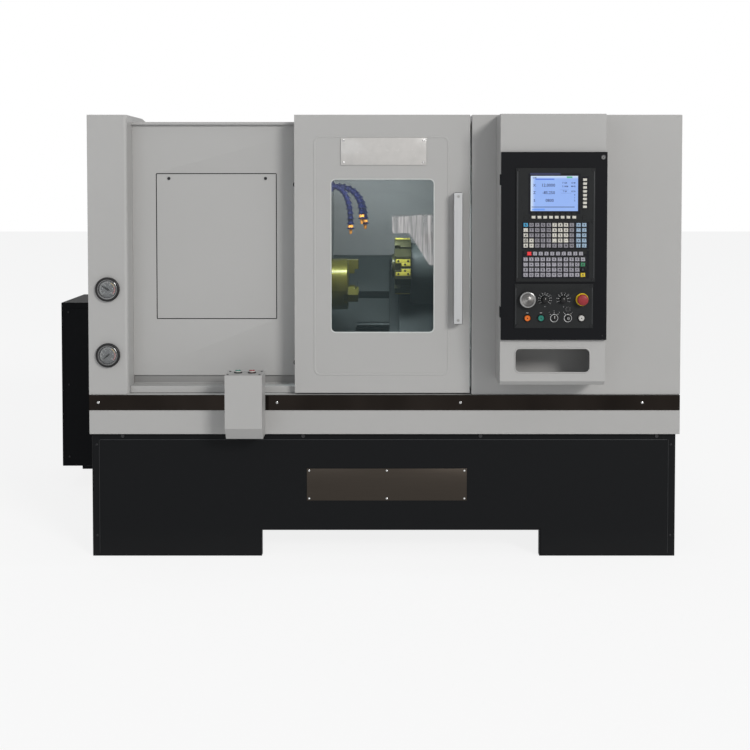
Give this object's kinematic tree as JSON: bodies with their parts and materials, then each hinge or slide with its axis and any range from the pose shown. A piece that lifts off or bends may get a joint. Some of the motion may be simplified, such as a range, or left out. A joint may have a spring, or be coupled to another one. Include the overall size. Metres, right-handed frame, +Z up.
{
  "type": "cnc turning lathe",
  "caption": "Enclosed slant-bed turning lathe with a sliding windowed door, chuck spindle, indexing turret on two slides, swing-out control panel, gauges and a button box",
  "frame": {"origin": "middle of the whole outline, on the floor", "axes": "+X along the spindle to the operator's right, -Y towards the operator, +Z up"},
  "size_m": [2.6412, 1.6842, 1.691],
  "materials": {
    "white_paint": "semi-gloss light grey powder coat",
    "black_paint": "semi-gloss black powder coat",
    "dark_mirror": "dark polished stainless strip",
    "cast_paint": "painted casting with machined faces",
    "oiled_steel": "oiled machined steel",
    "steel": "turned and ground steel",
    "aluminium": "satin anodised aluminium",
    "bezel_plastic": "matte charcoal panel",
    "window_pane": "clear polycarbonate with a slight tint",
    "screen_glass": "display glass",
    "gauge_face": "black case with a grey dial",
    "black_rubber": "toothed rubber belt",
    "hose_blue": "blue jointed coolant hose",
    "red_plastic": "red moulded plastic",
    "green_plastic": "green moulded plastic",
    "orange_plastic": "orange moulded plastic",
    "white_plastic": "white moulded plastic",
    "black_plastic": "black moulded plastic"
  },
  "bodies": {
    "root": {"base": "black_paint", "coolant_tank": "black_paint", "apron_frame": "white_paint", "trim_strip": "dark_mirror", "left_end_cover": "white_paint", "right_cover": "white_paint", "roof_cover": "white_paint", "rear_cover": "white_paint", "headstock_cover": "white_paint", "access_panel": "white_paint", "door_rail_bottom": "white_paint", "gauge_upper": "gauge_face", "gauge_lower": "gauge_face", "pod_housing": "white_paint", "button_box": "white_paint", "headstock": "cast_paint", "spindle_motor": "cast_paint", "drive_belt": "black_rubber", "slant_bed": "cast_paint", "z_servo": "black_paint", "coolant_manifold": "hose_blue", "hydraulic_unit": "black_paint", "electrical_cabinet": "white_paint"},
    "door": {"door_panel": "white_paint", "door_window": "window_pane", "door_handle": "aluminium"},
    "door_roller_left": {"door_roller_left": "steel"},
    "door_roller_right": {"door_roller_right": "steel"},
    "pod_door": {"pod_door": "black_paint", "cnc_unit": "bezel_plastic", "screen": "screen_glass", "operator_panel": "bezel_plastic"},
    "pod_lock": {"pod_lock": "steel"},
    "handwheel": {"handwheel": "aluminium"},
    "feed_knob": {"feed_knob": "black_plastic"},
    "speed_knob": {"speed_knob": "black_plastic"},
    "emergency_stop": {"emergency_stop": "red_plastic"},
    "orange_button": {"orange_button": "orange_plastic"},
    "green_button": {"green_button": "green_plastic"},
    "white_button": {"white_button": "white_plastic"},
    "mode_selector": {"mode_selector": "black_plastic"},
    "key_switch": {"key_switch": "steel"},
    "start_button": {"start_button": "green_plastic"},
    "stop_button": {"stop_button": "red_plastic"},
    "gauge_pointer_upper": {"gauge_pointer_upper": "black_plastic"},
    "gauge_pointer_lower": {"gauge_pointer_lower": "black_plastic"},
    "cabinet_door": {"cabinet_door": "white_paint"},
    "spindle": {"spindle": "steel", "chuck_body": "oiled_steel"},
    "jaw_1": {"jaw_1": "oiled_steel"},
    "jaw_2": {"jaw_2": "oiled_steel"},
    "jaw_3": {"jaw_3": "oiled_steel"},
    "motor_pulley": {"motor_pulley": "steel"},
    "saddle": {"saddle": "steel", "x_servo": "black_paint"},
    "z_screw": {"z_screw": "steel"},
    "cross_slide": {"cross_slide": "steel", "turret_housing": "cast_paint"},
    "x_screw": {"x_screw": "steel"},
    "turret": {"turret_disc": "oiled_steel"}
  },
  "joints": [
    {"name": "door_slide", "type": "slide", "parent": "root", "child": "door", "axis": [-1, 0, 0], "range_m": [0, 0.6]},
    {"name": "roller_left_roll", "type": "hinge", "parent": "door", "child": "door_roller_left", "pos_m": [-0.06735, -0.56385, 0.6696], "axis": [0, 1, 0], "range_deg": [-2150, 0]},
    {"name": "roller_right_roll", "type": "hinge", "parent": "door", "child": "door_roller_right", "pos_m": [0.43815, -0.56385, 0.6696], "axis": [0, 1, 0], "range_deg": [-2150, 0]},
    {"name": "pod_door_hinge", "type": "hinge", "parent": "root", "child": "pod_door", "pos_m": [0.61915, -0.80785, 0.86], "axis": [0, 0, -1], "range_deg": [0, 110]},
    {"name": "pod_lock_turn", "type": "hinge", "parent": "pod_door", "child": "pod_lock", "pos_m": [0.98915, -0.80785, 1.526], "axis": [0, -1, 0], "range_deg": [0, 90]},
    {"name": "handwheel_turn", "type": "hinge", "parent": "pod_door", "child": "handwheel", "pos_m": [0.71465, -0.81245, 1.009], "axis": [0, -1, 0], "continuous": true},
    {"name": "feed_knob_turn", "type": "hinge", "parent": "pod_door", "child": "feed_knob", "pos_m": [0.77865, -0.81245, 1.009], "axis": [0, -1, 0], "range_deg": [-150, 150]},
    {"name": "speed_knob_turn", "type": "hinge", "parent": "pod_door", "child": "speed_knob", "pos_m": [0.84565, -0.81245, 1.009], "axis": [0, -1, 0], "range_deg": [-150, 150]},
    {"name": "emergency_stop_press", "type": "slide", "parent": "pod_door", "child": "emergency_stop", "axis": [0, 1, 0], "range_m": [0, 0.005]},
    {"name": "orange_button_press", "type": "slide", "parent": "pod_door", "child": "orange_button", "axis": [0, 1, 0], "range_m": [0, 0.0035], "stiffness_N_per_m": 400},
    {"name": "green_button_press", "type": "slide", "parent": "pod_door", "child": "green_button", "axis": [0, 1, 0], "range_m": [0, 0.0035], "stiffness_N_per_m": 400},
    {"name": "white_button_press", "type": "slide", "parent": "pod_door", "child": "white_button", "axis": [0, 1, 0], "range_m": [0, 0.0035], "stiffness_N_per_m": 400},
    {"name": "mode_selector_turn", "type": "hinge", "parent": "pod_door", "child": "mode_selector", "pos_m": [0.81265, -0.81245, 0.941], "axis": [0, -1, 0], "range_deg": [-45, 45]},
    {"name": "key_switch_turn", "type": "hinge", "parent": "pod_door", "child": "key_switch", "pos_m": [0.86265, -0.81245, 0.941], "axis": [0, -1, 0], "range_deg": [0, 90]},
    {"name": "start_button_press", "type": "slide", "parent": "root", "child": "start_button", "axis": [0, 0, -1], "range_m": [0, 0.004], "stiffness_N_per_m": 600},
    {"name": "stop_button_press", "type": "slide", "parent": "root", "child": "stop_button", "axis": [0, 0, -1], "range_m": [0, 0.004], "stiffness_N_per_m": 600},
    {"name": "gauge_upper_reading", "type": "hinge", "parent": "root", "child": "gauge_pointer_upper", "pos_m": [-0.85635, -0.63985, 1.03], "axis": [0, 1, 0], "range_deg": [-77, 193]},
    {"name": "gauge_lower_reading", "type": "hinge", "parent": "root", "child": "gauge_pointer_lower", "pos_m": [-0.85635, -0.63985, 0.779], "axis": [0, 1, 0], "range_deg": [-3, 267]},
    {"name": "cabinet_door_hinge", "type": "hinge", "parent": "root", "child": "cabinet_door", "pos_m": [0.56065, 0.84075, 0.533], "axis": [0, 0, 1], "range_deg": [0, 120]},
    {"name": "spindle_turn", "type": "hinge", "parent": "root", "child": "spindle", "pos_m": [0.04465, -0.22785, 1.016], "axis": [1, 0, 0], "continuous": true},
    {"name": "motor_turn", "type": "hinge", "parent": "root", "child": "motor_pulley", "pos_m": [-0.60635, 0.37215, 1.22615], "axis": [1, 0, 0], "continuous": true},
    {"name": "jaw_1_grip", "type": "slide", "parent": "spindle", "child": "jaw_1", "axis": [0, 0, 1], "range_m": [-0.004, 0.002]},
    {"name": "jaw_2_grip", "type": "slide", "parent": "spindle", "child": "jaw_2", "axis": [0, -0.866, -0.5], "range_m": [-0.004, 0.002]},
    {"name": "jaw_3_grip", "type": "slide", "parent": "spindle", "child": "jaw_3", "axis": [0, 0.866, -0.5], "range_m": [-0.004, 0.002]},
    {"name": "saddle_slide", "type": "slide", "parent": "root", "child": "saddle", "axis": [1, 0, 0], "range_m": [-0.13, 0.25]},
    {"name": "z_screw_turn", "type": "hinge", "parent": "root", "child": "z_screw", "pos_m": [0.99465, -0.0334, 0.82155], "axis": [1, 0, 0], "range_deg": [-4700, 9020]},
    {"name": "cross_slide_travel", "type": "slide", "parent": "saddle", "child": "cross_slide", "axis": [0, 0.7071, 0.7071], "range_m": [-0.02, 0.16]},
    {"name": "x_screw_turn", "type": "hinge", "parent": "saddle", "child": "x_screw", "pos_m": [0.41465, -0.07759, 0.86574], "axis": [0, 0.7071, 0.7071], "range_deg": [-730, 5780]},
    {"name": "turret_turn", "type": "hinge", "parent": "cross_slide", "child": "turret", "pos_m": [0.23615, -0.15714, 1.08671], "axis": [1, 0, 0], "continuous": true}
  ],
  "couplings": [
    {"joint": "roller_left_roll", "follows": "door_slide", "rad_per_m": -62.5},
    {"joint": "roller_right_roll", "follows": "door_slide", "rad_per_m": -62.5},
    {"joint": "motor_turn", "follows": "spindle_turn", "ratio": 1.6364},
    {"joint": "jaw_2_grip", "follows": "jaw_1_grip", "ratio": 1},
    {"joint": "jaw_3_grip", "follows": "jaw_1_grip", "ratio": 1},
    {"joint": "z_screw_turn", "follows": "saddle_slide", "rad_per_m": 628.32},
    {"joint": "x_screw_turn", "follows": "cross_slide_travel", "rad_per_m": 628.32}
  ]
}
